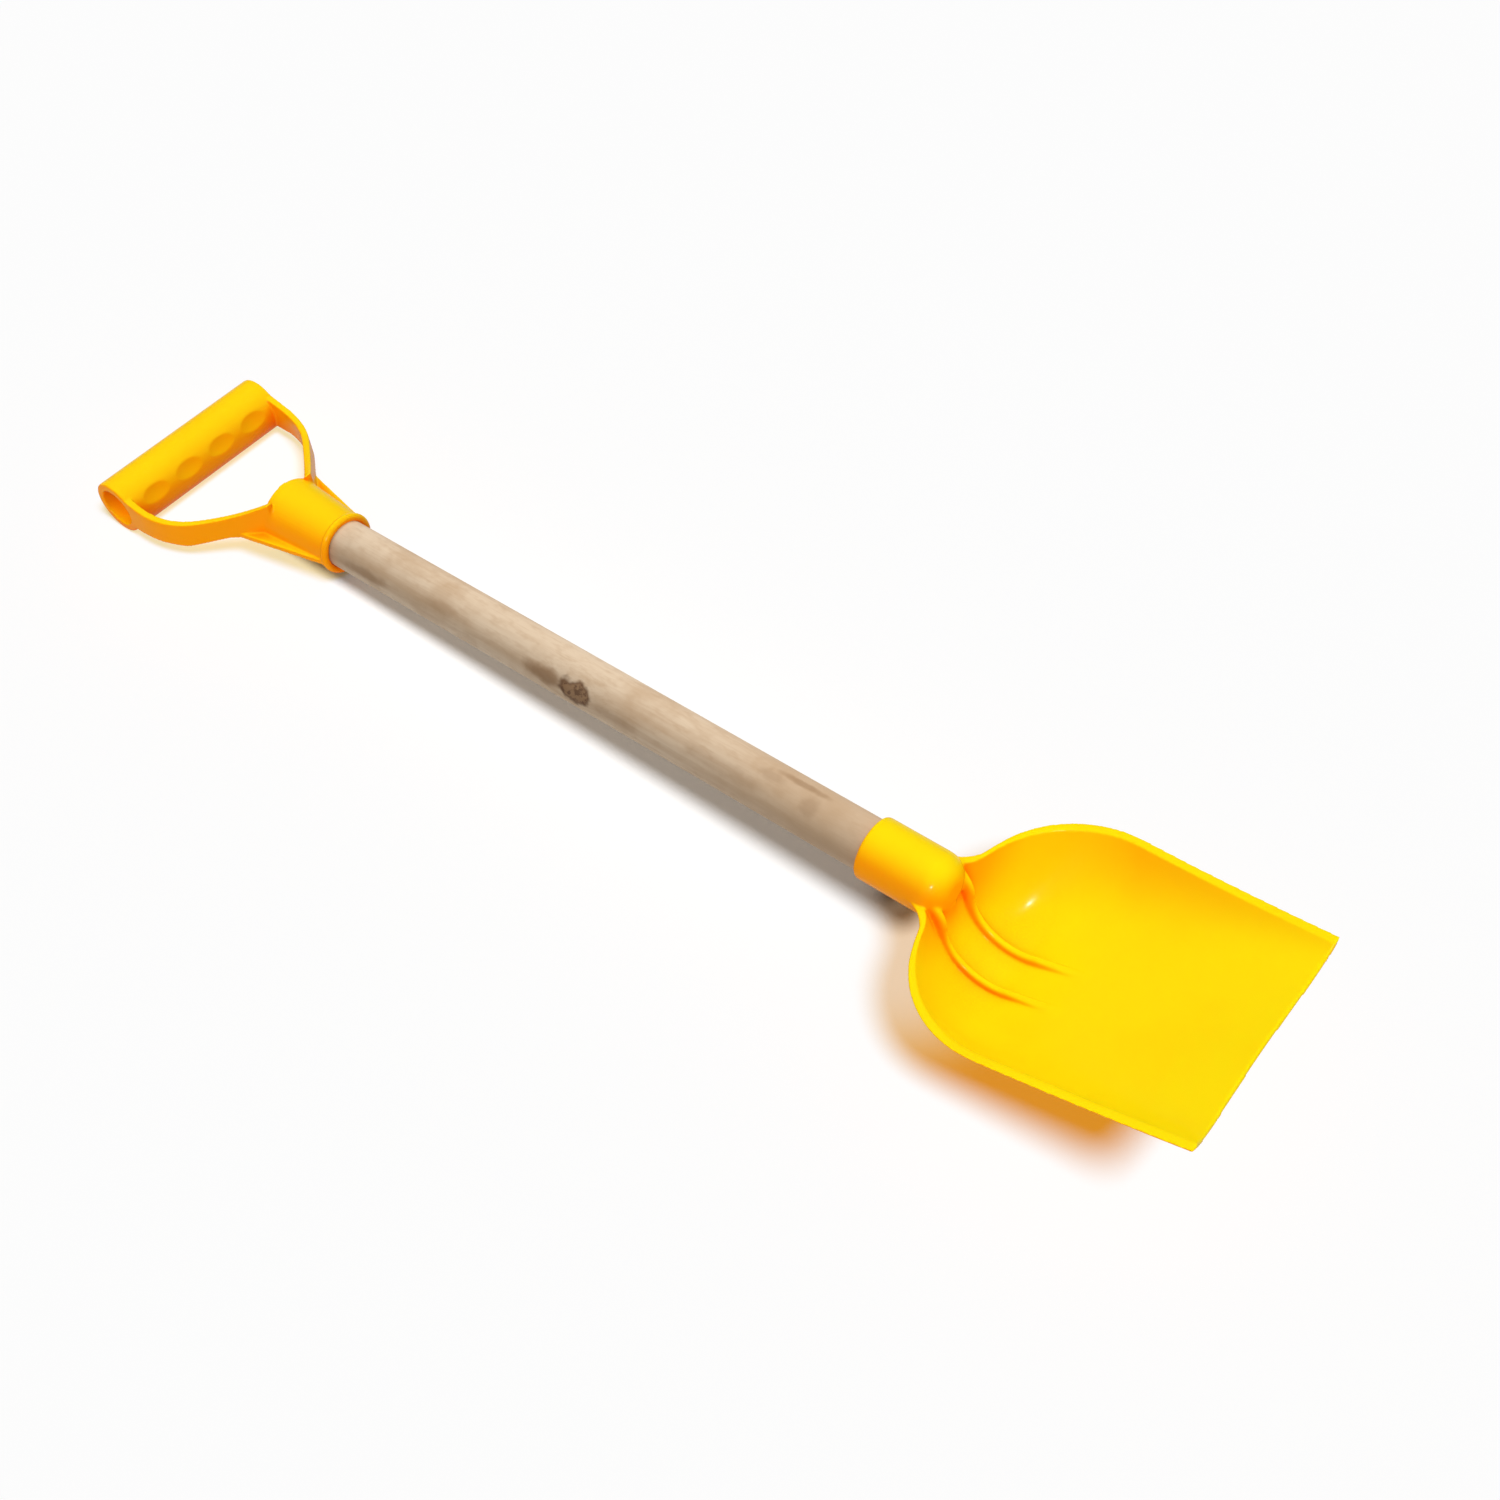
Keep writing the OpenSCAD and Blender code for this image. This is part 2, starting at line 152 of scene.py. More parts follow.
# Streaks, each with the share by which it darkens the wood
STREAKS = (
    (24.0, 74.0, 18.0, 3.6, 0.5),
    (75.0, 50.0, 15.0, 3.5, 0.25),
    (180.0, 72.0, 16.0, 3.0, 0.3),
    (276.0, -12.5, 14.0, 2.2, 0.55),
    (262.0, 8.0, 9.0, 3.0, 0.3),
    (284.0, 25.0, 5.0, 6.0, 0.3),
    (240.0, 45.0, 26.0, 4.0, 0.25),
)
STREAK_SHARES = (0.35, 1.2)
SPOT_WOBBLE = (160.0, 2.0, 0.6)
SPOT_WOBBLE_SHARE = 0.9
NOISE_MIDDLE_SHARE = 0.5
KNOT_SHARES = (0.7, 1.15, 0.9, 0.0)
KNOT_BEND_SHARES = (0.6, 2.6, 1.0, 0.0)
KNOT_PUSH = 6.0
KNOT_RING_SHARE = 0.8
KNOT_RING_SHARES = (0.0, 0.3, 0.85, 0.0)
KNOT_SPECKS = (420.0, 2.0, 0.6)
KNOT_SPECK_SHARES = (0.44, 0.6)
TAIL_SHARES = (0.4, 1.3, 0.8, 0.0)

# Steel
STAINS = (700.0, 3.0, 0.6)
STAIN_SHARES = (0.3, 0.8, 0.0, 0.35)
STEEL_ROUGH_SHARES = (0.3, 0.7, 0.25, 0.42)

# Shaft's axis, from the mouth of the handle's socket
PITCH = math.radians(2.63513)
SHAFT_START = Vector((-178.747, 0.0, 19.356))
SHAFT_R = 12.0
SHAFT_BARE_L = 312.5

# Sockets
BORE_R = 12.15
SOCKET_R = 14.35
SOCKET_L = 40.5
SOCKET_SEAT = 35.5
DOME_R = 10.05
MOUTH_ROUND = 0.6

# Rim of the blade in plan and in height
BLADE_L = 176.5
BLADE_W = 126.5
FRONT_W = 111.0
SHOULDER_X = 86.0
SHOULDER_R = 47.0
NECK_R = 17.0
RIM_BACK_Z = 1.5
RIM_FRONT_Z = 22.0
RIM_POWER = 1.6

# Scoop
FRONT_HOLLOW = 2.2
HEEL_R = 24.0
BACK_WALL_H = 4.0
HEEL_DEPTH = 34.5
FLOOR_SLOPE = math.radians(24.5)
HEEL_POWER = 2.6
FRONT_POWER = 6.0
SHELL_T = 2.2
LIP_W = 4.0
LIP_T = 2.2
LIP_LEAN = 1.3
LIP_ROUND = 0.8

# Ribs
RIB_SPACING = 20.0
RIB_W = 4.4
RIB_H = 3.4
RIB_L = 76.0
RIB_UP = 14.5
RIB_FADE = 26.6
RIB_ROOT = 1.1
RIB_DEEP_ROOT = 4.0
RIB_SINK = 8.0
RIB_END_SHARE = 0.02

# Screws and the pads that take their heads
SCREW_INSET = 16.0
SCREW_D = 3.2
SCREW_HEAD_D = 6.4
SCREW_L = 14.0
PAD_R = 5.0
PAD_H = 1.0
FIT_GAP = 0.15
THREAD_PITCH = 1.25
THREAD_DEPTH = 0.35
THREAD_STEPS = 8
THREAD_START = 3.0
POINT_L = 2.0
HEAD_EDGE = 0.3
RECESS_L = 3.8
RECESS_T = 0.9
RECESS_DEPTH = 1.1

# Mesh steps and smoothing
RIM_STEPS = 150
CROSS_STEPS = 64
ROUND_STEPS = 4
LATHE_STEPS = 72
RIB_STEPS = 90
RIB_RING = 24
DOME_STEPS = 12
NORMAL_STEP_SHARE = 0.002
VOXEL = 0.5
RELAX_SHARE = 0.5
BLADE_PASSES = 12
HANDLE_PASSES = 8
SHARP_ANGLE = math.radians(70)


def unit(a):
    return a / np.linalg.norm(a, axis=-1, keepdims=True)


def on_arc(centre, r, angle):
    return np.stack([centre[0] + r * np.cos(angle), centre[1] + r * np.sin(angle)], axis=-1)


# Plan of the rim: neck fillet, shoulder arc and straight taper to the front corner
shoulder_c = np.array([SHOULDER_X, BLADE_W / 2 - SHOULDER_R])
front_corner = np.array([BLADE_L, FRONT_W / 2])
to_corner = front_corner - shoulder_c
taper_angle = math.atan2(to_corner[1], to_corner[0]) + math.acos(SHOULDER_R / np.linalg.norm(to_corner))
taper_start = on_arc(shoulder_c, SHOULDER_R, taper_angle)
taper_way = np.array([math.sin(taper_angle), -math.cos(taper_angle)])
neck_y = SOCKET_R + NECK_R
neck_x = SHOULDER_X - math.sqrt((SHOULDER_R + NECK_R) ** 2 - (neck_y - shoulder_c[1]) ** 2)
neck_c = np.array([neck_x, neck_y])
join_angle = math.atan2(neck_y - shoulder_c[1], neck_x - SHOULDER_X)
neck_len = NECK_R * (join_angle - math.pi / 2)
shoulder_len = SHOULDER_R * (join_angle - taper_angle)
rim_len = neck_len + shoulder_len + np.linalg.norm(front_corner - taper_start)

# Side view of the middle of the scoop: back wall, heel arc and straight floor
heel_c = np.array([SOCKET_L + HEEL_R, HEEL_R - HEEL_DEPTH])
heel_turn = math.pi / 2 + FLOOR_SLOPE
heel_len = HEEL_R * heel_turn
heel_end = on_arc(heel_c, HEEL_R, math.pi + heel_turn)
floor_way = np.array([math.cos(FLOOR_SLOPE), math.sin(FLOOR_SLOPE)])
spine_len = BACK_WALL_H + heel_len + (BLADE_L - FRONT_HOLLOW - heel_end[0]) / floor_way[0]


def rim(t):
    """Outer edge of the lip, from the socket (0) to the front corner (1)."""
    d = t * rim_len
    neck = on_arc(neck_c, NECK_R, d / NECK_R - math.pi / 2)
    shoulder = on_arc(shoulder_c, SHOULDER_R, join_angle - (d - neck_len) / SHOULDER_R)
    taper = taper_start + (d - neck_len - shoulder_len)[..., None] * taper_way
    d = d[..., None]
    plan = np.where(d < neck_len, neck, np.where(d < neck_len + shoulder_len, shoulder, taper))
    rise = np.maximum(0.0, plan[..., :1] - neck_x) / (BLADE_L - neck_x)
    return np.concatenate([plan, RIM_BACK_Z + (RIM_FRONT_Z - RIM_BACK_Z) * rise ** RIM_POWER], axis=-1)


def spine(d):
    """Middle of the scoop in side view (x, z), at a distance from the top of the heel."""
    wall = np.stack([np.full_like(d, heel_c[0] - HEEL_R), heel_c[1] - d], axis=-1)
    heel = on_arc(heel_c, HEEL_R, math.pi + d / HEEL_R)
    floor = heel_end + (d - heel_len)[..., None] * floor_way
    d = d[..., None]
    return np.where(d < 0, wall, np.where(d < heel_len, heel, floor))


def spine_up(d):
    """Direction away from the scoop's middle, in side view."""
    turned = np.clip(d, 0.0, heel_len) / HEEL_R
    return np.stack([np.cos(turned), np.sin(turned)], axis=-1)


def lip_inner(t, width):
    """A point on the lip's level, a width in from the rim towards the middle."""
    edge = rim(t)
    middle = spine(t * spine_len - BACK_WALL_H)
    inward = np.stack([middle[..., 0] - edge[..., 0], -edge[..., 1], np.zeros_like(t)], axis=-1)
    return edge + width * unit(inward)


def scoop(t, v):
    """Upper face of the scoop: v runs from lip to lip, -1 to 1."""
    middle = spine(t * spine_len - BACK_WALL_H)
    lip = lip_inner(t, LIP_W)
    power = HEEL_POWER + (FRONT_POWER - HEEL_POWER) * t
    x = middle[..., 0] + (lip[..., 0] - middle[..., 0]) * v * v
    z = middle[..., 1] + (lip[..., 2] - middle[..., 1]) * np.abs(v) ** power
    return np.stack([x, lip[..., 1] * v, z], axis=-1)


def scoop_normal(t, v):
    """Direction out of the scoop's upper face."""
    step = NORMAL_STEP_SHARE
    along = scoop(np.minimum(1.0, t + step), v) - scoop(np.maximum(0.0, t - step), v)
    across = scoop(t, np.minimum(1.0, v + step)) - scoop(t, np.maximum(-1.0, v - step))
    return unit(np.cross(along, across))


def rounded(before, corner, after, r):
    """Points that round a corner between two neighbours."""
    first = corner + r * unit(before - corner)
    last = corner + r * unit(after - corner)
    steps = [i / ROUND_STEPS for i in range(ROUND_STEPS + 1)]
    return [(1 - s) ** 2 * first + 2 * s * (1 - s) * corner + s * s * last for s in steps]


def grid_faces(rows, columns):
    """Quads between rows of points, each row a closed loop."""
    faces = []
    for k in range(rows - 1):
        for i in range(columns):
            a = k * columns + i
            b = k * columns + (i + 1) % columns
            faces.append((a, b, b + columns, a + columns))
    return faces


def shell():
    """The dished shell with its lip, as one closed skin."""
    t, turn = np.meshgrid(
        np.linspace(0.0, 1.0, RIM_STEPS + 1),
        np.linspace(-math.pi / 2, math.pi / 2, 2 * CROSS_STEPS + 1),
        indexing="ij",
    )
    v = np.sin(turn)
    upper = scoop(t, v)
    lower = upper - SHELL_T * scoop_normal(t, v)
    along = t[:, 0]
    edge = rim(along)
    below = lip_inner(along, LIP_LEAN) - np.array([0.0, 0.0, LIP_T])
    top = rounded(upper[:, -1], edge, below, LIP_ROUND)
    bottom = rounded(edge, below, lower[:, -1], LIP_ROUND)
    mirror = np.array([1.0, -1.0, 1.0])
    columns = [p * mirror for p in reversed(top)]
    columns += list(upper.swapaxes(0, 1)) + top + bottom + list(lower.swapaxes(0, 1)[::-1])
    columns += [p * mirror for p in reversed(bottom)]
    count = len(columns)
    faces = grid_faces(RIM_STEPS + 1, count)
    for start in (0, RIM_STEPS * count):
        for i in range(count // 2 - 1):
            faces.append((start + i, start + i + 1, start + count - 2 - i, start + count - 1 - i))
    return np.stack(columns, axis=1).reshape(-1, 3), faces


def lathe(profile):
    """A turned solid round the x axis, from (distance, radius) pairs that start and end on the axis."""
    turn = np.linspace(0.0, 2 * math.pi, LATHE_STEPS, endpoint=False)
    rings = [
        np.stack([np.full(LATHE_STEPS, x), r * np.cos(turn), r * np.sin(turn)], axis=-1)
        for x, r in profile[1:-1]
    ]
    points = np.concatenate(rings + [[(profile[0][0], 0.0, 0.0), (profile[-1][0], 0.0, 0.0)]])
    faces = grid_faces(len(rings), LATHE_STEPS)
    first, last = len(points) - 2, len(points) - 1
    end = (len(rings) - 1) * LATHE_STEPS
    for i in range(LATHE_STEPS):
        beside = (i + 1) % LATHE_STEPS
        faces.append((first, beside, i))
        faces.append((last, end + i, end + beside))
    return points, faces


def upright(solid, x, z):
    """Turns a lathed solid to stand at a point below the shaft, pointing up."""
    points, faces = solid
    return np.stack([x - points[:, 2], points[:, 1], z + points[:, 0]], axis=-1), faces


def socket():
    """The blade's socket before it is bored: a rounded mouth, a tube and a domed end."""
    turns = np.linspace(0.0, math.pi / 2, DOME_STEPS)
    dome_c = (SOCKET_L - DOME_R, SOCKET_R - DOME_R)
    dome = [(dome_c[0] + DOME_R * math.sin(a), dome_c[1] + DOME_R * math.cos(a)) for a in turns]
    mouth = [(0.0, 0.0), (0.0, SOCKET_R - MOUTH_ROUND), (MOUTH_ROUND, SOCKET_R)]
    return lathe(mouth + dome + [(SOCKET_L, 0.0)])


def screw_pad():
    """The round pad under the socket that takes the screw's head."""
    depth = SOCKET_R + PAD_H
    return upright(lathe([(0.0, 0.0), (0.0, PAD_R), (depth, PAD_R), (depth, 0.0)]), SCREW_INSET, -depth)


def screw_hole():
    """What the screw's countersunk hole takes out of the pad and the socket."""
    head_l = (SCREW_HEAD_D - SCREW_D) / 2
    shank = SCREW_D / 2 + FIT_GAP
    head = SCREW_HEAD_D / 2 + FIT_GAP
    countersink = [(-PAD_H, 0.0), (-PAD_H, head), (0.0, head), (head_l, shank)]
    profile = countersink + [(SCREW_L, shank), (SCREW_L, 0.0)]
    return upright(lathe(profile), SCREW_INSET, -SOCKET_R - PAD_H)


def screw(x):
    """A countersunk screw with a turned thread, standing on its head below the shaft."""
    turn = np.linspace(0.0, 1.0, LATHE_STEPS, endpoint=False)
    core = SCREW_D / 2
    head = SCREW_HEAD_D / 2
    profile = [(0.0, 0.0), (0.0, head - HEAD_EDGE), (HEAD_EDGE, head), (head - core + HEAD_EDGE, core)]
    for d in np.arange(THREAD_START, SCREW_L - POINT_L, THREAD_PITCH / THREAD_STEPS):
        wave = np.abs(2 * ((d / THREAD_PITCH - turn) % 1.0) - 1)
        profile.append((d, core - THREAD_DEPTH * wave))
    profile += [(SCREW_L - HEAD_EDGE, HEAD_EDGE), (SCREW_L, 0.0)]
    return upright(lathe(profile), x, -SOCKET_R - PAD_H)


def recess(x, length_x, length_y):
    """One bar of the cross that a screwdriver goes into."""
    corners = ((-1, -1), (1, -1), (1, 1), (-1, 1))
    start = -SOCKET_R - PAD_H
    points = [
        (x + i * length_x / 2, j * length_y / 2, start + level)
        for level in (-PAD_H, RECESS_DEPTH)
        for i, j in corners
    ]
    count = len(corners)
    faces = grid_faces(2, count) + [tuple(range(count)), tuple(range(count, 2 * count))]
    return np.array(points), faces


def rib(side):
    """A rounded ridge that grows out of the socket's end and sinks into the floor."""
    d = np.linspace(-RIB_UP, RIB_L, RIB_STEPS)
    height = RIB_H * np.clip((RIB_L - d) / RIB_FADE, RIB_END_SHARE, 1.0)
    turn = np.linspace(0.0, 2 * math.pi, RIB_RING, endpoint=False)
    middle = spine(d)[:, None]
    middle[..., 0] -= RIB_SINK * np.clip(-d / RIB_UP, 0.0, 1.0)[:, None] ** 2
    up = spine_up(d)[:, None]
    root = np.where(d < 0.0, RIB_DEEP_ROOT, RIB_ROOT)
    out = np.where(np.sin(turn) > 0, height[:, None], root[:, None]) * np.sin(turn)
    x = middle[..., 0] + out * up[..., 0]
    z = middle[..., 1] + out * up[..., 1]
    y = np.broadcast_to(side * RIB_SPACING / 2 + RIB_W / 2 * np.cos(turn), x.shape)
    last = (RIB_STEPS - 1) * RIB_RING
    ends = [tuple(range(RIB_RING)), tuple(range(last, last + RIB_RING))]
    return np.stack([x, y, z], axis=-1).reshape(-1, 3), grid_faces(RIB_STEPS, RIB_RING) + ends


def build(name, solids, mouth_x):
    """An object from solids drawn along the shaft's axis from a socket's mouth."""
    along = np.array([math.cos(PITCH), 0.0, math.sin(PITCH)])
    above = np.array([-math.sin(PITCH), 0.0, math.cos(PITCH)])
    across = np.array([0.0, 1.0, 0.0])
    points = np.concatenate([p for p, faces in solids])
    points = (points + (mouth_x, 0.0, 0.0)) @ np.stack([along, across, above]) + np.array(SHAFT_START)
    joined = []
    count = 0
    for p, faces in solids:
        joined += [tuple(i + count for i in face) for face in faces]
        count += len(p)
    mesh = bpy.data.meshes.new(name)
    mesh.from_pydata((points * MM).tolist(), [], joined)
    skin = bmesh.new()
    skin.from_mesh(mesh)
    bmesh.ops.recalc_face_normals(skin, faces=skin.faces)
    skin.to_mesh(mesh)
    skin.free()
    piece = bpy.data.objects.new(name, mesh)
    scene.collection.objects.link(piece)
    return piece


def soften(piece, passes):
    """Melts a moulding's solids together and rounds its edges and corners, as a mould leaves them."""
    remesh = piece.modifiers.new("moulded", "REMESH")
    remesh.mode = "VOXEL"
    remesh.voxel_size = VOXEL * MM
    remesh.use_smooth_shade = True
    relax = piece.modifiers.new("rounded", "SMOOTH")
    relax.factor = RELAX_SHARE
    relax.iterations = passes


def settle(piece, cutters):
    """Cuts the cutters out of a piece and keeps the finished mesh without its modifiers."""
    for cutter in cutters:
        cut = piece.modifiers.new("cut", "BOOLEAN")
        cut.operation = "DIFFERENCE"
        cut.solver = "EXACT"
        cut.object = cutter
    shown = piece.evaluated_get(bpy.context.evaluated_depsgraph_get())
    finished = bpy.data.meshes.new_from_object(shown)
    piece.modifiers.clear()
    piece.data = finished
    for cutter in cutters:
        bpy.data.objects.remove(cutter)
    finished.shade_smooth()
    finished.set_sharp_from_angle(angle=SHARP_ANGLE)


class Graph:
    """A material's node tree with short calls for nodes and links."""

    def __init__(self, name):
        self.material = bpy.data.materials.new(name)
        self.material.use_nodes = True
        self.tree = self.material.node_tree
        self.tree.nodes.clear()

    def add(self, kind, sockets=None, **settings):
        node = self.tree.nodes.new(kind)
        for key, value in settings.items():
            setattr(node, key, value)
        for key, value in (sockets or {}).items():
            if isinstance(value, bpy.types.NodeSocket):
                self.tree.links.new(value, node.inputs[key])
            else:
                node.inputs[key].default_value = value
        return node

    def noise(self, vector, scale, detail, rough):
        sockets = {"Vector": vector, "Scale": scale, "Detail": detail, "Roughness": rough}
        return self.add("ShaderNodeTexNoise", sockets).outputs["Fac"]

    def ramp(self, value, low, high, to_low=0.0, to_high=1.0):
        sockets = {"Value": value, "From Min": low, "From Max": high, "To Min": to_low, "To Max": to_high}
        return self.add("ShaderNodeMapRange", sockets, interpolation_type="SMOOTHSTEP").outputs["Result"]

    def maths(self, operation, a, b=0.0):
        return self.add("ShaderNodeMath", {0: a, 1: b}, operation=operation).outputs["Value"]

    def vector(self, operation, a, b=(0.0, 0.0, 0.0)):
        node = self.add("ShaderNodeVectorMath", {0: a, 1: b}, operation=operation)
        return node.outputs["Value" if operation in ("DOT_PRODUCT", "LENGTH") else "Vector"]

    def part(self, vector, axis):
        return self.add("ShaderNodeSeparateXYZ", {"Vector": vector}).outputs[axis]

    def mix(self, factor, a, b):
        """A mix of two colours, by the node's sockets for colours: 6, 7 and output 2."""
        return self.add("ShaderNodeMix", {"Factor": factor, 6: a, 7: b}, data_type="RGBA").outputs[2]

    def either(self, factor, a, b):
        return self.add("ShaderNodeMixShader", {"Fac": factor, 1: a, 2: b}).outputs["Shader"]

    def bump(self, height, share, depth):
        sockets = {"Strength": share, "Distance": depth * MM, "Height": height}
        return self.add("ShaderNodeBump", sockets).outputs["Normal"]

    def lets_by(self, shader, tint):
        """Lightens and tints the shadow that a surface throws, as a fill lamp or thin plastic would."""
        through = self.add("ShaderNodeBsdfTransparent", {"Color": tint}).outputs["BSDF"]
        return self.either(self.add("ShaderNodeLightPath").outputs["Is Shadow Ray"], shader, through)

    def finish(self, shader):
        out = self.add("ShaderNodeOutputMaterial")
        self.tree.links.new(shader, out.inputs["Surface"])
        return self.material


def plastic(name, lit_colour):
    """Yellow plastic that light shines through, with soft waves and light scuffs; painted shade turns it
    orange on faces turned from a set direction and in closed-in places.
    """
    g = Graph(name)
    where = g.add("ShaderNodeTexCoord").outputs["Object"]
    forward = g.maths("DIVIDE", g.part(where, "X"), MM)
    normal = g.add("ShaderNodeNewGeometry").outputs["Normal"]
    reach = {"Distance": CLOSED_REACH * MM}
    open_air = g.add("ShaderNodeAmbientOcclusion", reach, samples=CLOSED_SAMPLES).outputs["AO"]
    # Painted light and shade: yellow where faces turn to a set direction and lie open, orange where they
    # turn away, stand off the scoop or are closed in
    facing = g.vector("DOT_PRODUCT", normal, PAINTED_LIGHT_FROM)
    facing = g.maths("SUBTRACT", facing, g.ramp(forward, *SOCKET_TO_SCOOP, OFF_SCOOP_SHADE_SHARE, 0.0))
    lit = g.maths("MULTIPLY", g.ramp(facing, *PAINTED_LIGHT_SHARES), g.ramp(open_air, *OPEN_SHARES))
    colour = g.mix(lit, ORANGE_SHADE_AND_CLOUDS, lit_colour)
    # Deeper painted shade where the plastic is most closed in
    colour = g.mix(g.ramp(open_air, *DEEP_SHADE_SHARES), colour, ORANGE_DEEP_SHADE)
    colour = g.mix(g.ramp(g.noise(where, *PLASTIC_CLOUDS), *PLASTIC_CLOUD_SHARES), colour, ORANGE_SHADE_AND_CLOUDS)
    # Undersides throw less light back than their colour would, so that shadows keep their tint
    bounced = g.add("ShaderNodeLightPath").outputs["Is Diffuse Ray"]
    lost = g.ramp(g.part(normal, "Z"), *DOWNWARD_SHARES, BOUNCE_LOSS_SHARE, 0.0)
    colour = g.mix(g.maths("MULTIPLY", bounced, lost), colour, BLACK)
    peel = g.maths("MULTIPLY", g.noise(where, *PLASTIC_PEEL), PEEL_SHARE)
    height = g.maths("ADD", peel, g.noise(where, *PLASTIC_WAVES))
    shader = g.add(
        "ShaderNodeBsdfPrincipled",
        {
            "Base Color": colour,
            "Roughness": g.ramp(g.noise(where, *PLASTIC_SCUFFS), *PLASTIC_ROUGH_SHARES),
            "Normal": g.bump(height, PLASTIC_BUMP_SHARE, PLASTIC_BUMP_DEPTH),
            "IOR": PLASTIC_IOR,
            "Specular IOR Level": PLASTIC_GLOSS_SHARE,
            "Subsurface Weight": SUBSURFACE_SHARE,
            "Subsurface Radius": SUBSURFACE_REACH * MM,
            "Subsurface Scale": 1.0,
        },
    )
    glow = g.mix(g.ramp(forward, *HANDLE_TO_SOCKET), HANDLE_GLOW, SOCKET_GLOW)
    glow = g.mix(g.ramp(forward, *SOCKET_TO_HEEL), glow, HEEL_GLOW)
    glow = g.mix(g.ramp(forward, *HEEL_TO_BLADE), glow, BLADE_GLOW)
    return g.finish(g.lets_by(shader.outputs["BSDF"], glow))


def wood(name):
    """Bare pale wood with grain along the shaft, a knot with its tail, and streaks."""
    g = Graph(name)
    where = g.add("ShaderNodeTexCoord").outputs["Object"]
    placed = g.vector("SUBTRACT", where, SHAFT_START * MM)
    turned = g.add("ShaderNodeVectorRotate", {"Vector": placed, "Angle": PITCH}, rotation_type="Y_AXIS")
    along = turned.outputs["Vector"]

    def spot(x, turn, length, width):
        """Distance from a spot on the shaft's skin: 0 in its middle and about 1 on its edge."""
        angle = math.radians(turn)
        centre = Vector((x, -SHAFT_R * math.sin(angle), SHAFT_R * math.cos(angle))) * MM
        scaled = g.vector("DIVIDE", g.vector("SUBTRACT", along, centre), Vector((length, width, width)) * MM)
        wobble = g.maths("SUBTRACT", g.noise(along, *SPOT_WOBBLE), NOISE_MIDDLE_SHARE)
        return g.maths("ADD", g.vector("LENGTH", scaled), g.maths("MULTIPLY", wobble, SPOT_WOBBLE_SHARE))

    knot = spot(*KNOT)
    pushed = g.maths("MULTIPLY", g.ramp(knot, *KNOT_BEND_SHARES), KNOT_PUSH * MM)
    grain_at = g.vector("ADD", along, g.add("ShaderNodeCombineXYZ", {"Z": pushed}).outputs["Vector"])
    grain = g.noise(g.vector("MULTIPLY", grain_at, GRAIN_STRETCH), *GRAIN)
    fibres = g.noise(g.vector("MULTIPLY", grain_at, FIBRE_STRETCH), *FIBRES)
    mottle = g.noise(g.vector("MULTIPLY", along, MOTTLE_STRETCH), *MOTTLE)
    distance = g.maths("DIVIDE", g.part(along, "X"), MM)
    darkening = (
        g.ramp(grain, *GRAIN_SHARES),
        g.ramp(g.noise(along, *WOOD_CLOUDS), *WOOD_CLOUD_SHARES),
        g.ramp(mottle, *MOTTLE_SHARES),
        g.ramp(fibres, *FIBRE_SHARES),
        g.ramp(distance, *BLADE_END, 0.0, BLADE_END_SHARE),
    )
    colour = WOOD_PALE
    for share in darkening:
        colour = g.mix(share, colour, WOOD_DARK)
    for *place, share in STREAKS:
        colour = g.mix(g.ramp(spot(*place), *STREAK_SHARES, share, 0.0), colour, KNOT_PALE)
    colour = g.mix(g.ramp(spot(*KNOT_TAIL), *TAIL_SHARES), colour, KNOT_PALE)
    from_ring = g.maths("ABSOLUTE", g.maths("SUBTRACT", knot, KNOT_RING_SHARE))
    specks = g.ramp(g.noise(along, *KNOT_SPECKS), *KNOT_SPECK_SHARES)
    heart = g.mix(g.maths("MAXIMUM", specks, g.ramp(from_ring, *KNOT_RING_SHARES)), KNOT_PALE, KNOT_DARK)
    colour = g.mix(g.ramp(knot, *KNOT_SHARES), colour, heart)
    fibre_height = g.maths("MULTIPLY", fibres, FIBRE_BUMP_SHARE)
    height = g.maths("ADD", fibre_height, g.maths("MULTIPLY", grain, GRAIN_BUMP_SHARE))
    shader = g.add(
        "ShaderNodeBsdfPrincipled",
        {
            "Base Color": colour,
            "Roughness": g.ramp(grain, *WOOD_ROUGH_SHARES),
            "Normal": g.bump(height, WOOD_BUMP_SHARE, WOOD_BUMP_DEPTH),
            "Specular IOR Level": WOOD_GLOSS_SHARE,
        },
    )
    return g.finish(g.lets_by(shader.outputs["BSDF"], SHAFT_GLOW))


def steel(name):
    """Plated steel with faint stains."""
    g = Graph(name)
    stains = g.noise(g.add("ShaderNodeTexCoord").outputs["Object"], *STAINS)
    colour = g.mix(g.ramp(stains, *STAIN_SHARES), STEEL, WOOD_DARK)
    rough = g.ramp(stains, *STEEL_ROUGH_SHARES)
    shader = g.add("ShaderNodeBsdfPrincipled", {"Base Color": colour, "Metallic": 1.0, "Roughness": rough})
    return g.finish(shader.outputs["BSDF"])


def floor_paint(name):
    """White to look at, greyer to the light that it throws back, and clear from below."""
    g = Graph(name)
    ray = g.add("ShaderNodeLightPath")
    seen = g.maths("MAXIMUM", ray.outputs["Is Camera Ray"], ray.outputs["Is Transmission Ray"])
    painted = g.add("ShaderNodeBsdfDiffuse", {"Color": g.mix(seen, FLOOR, WHITE)}).outputs["BSDF"]
    clear = g.add("ShaderNodeBsdfTransparent", {"Color": WHITE}).outputs["BSDF"]
    return g.finish(g.either(g.add("ShaderNodeNewGeometry").outputs["Backfacing"], painted, clear))


def paint(piece, material):
    piece.data.materials.clear()
    piece.data.materials.append(material)


# Blade
blade = build("blade_skin", [shell(), socket(), screw_pad(), rib(-1), rib(1)], SHAFT_BARE_L)
soften(blade, BLADE_PASSES)
bore = lathe([(-PAD_H, 0.0), (-PAD_H, BORE_R), (SOCKET_SEAT, BORE_R), (SOCKET_SEAT, 0.0)])
settle(blade, [build("bore", [bore], SHAFT_BARE_L), build("hole", [screw_hole()], SHAFT_BARE_L)])
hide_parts("blade")
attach(blade, "root")

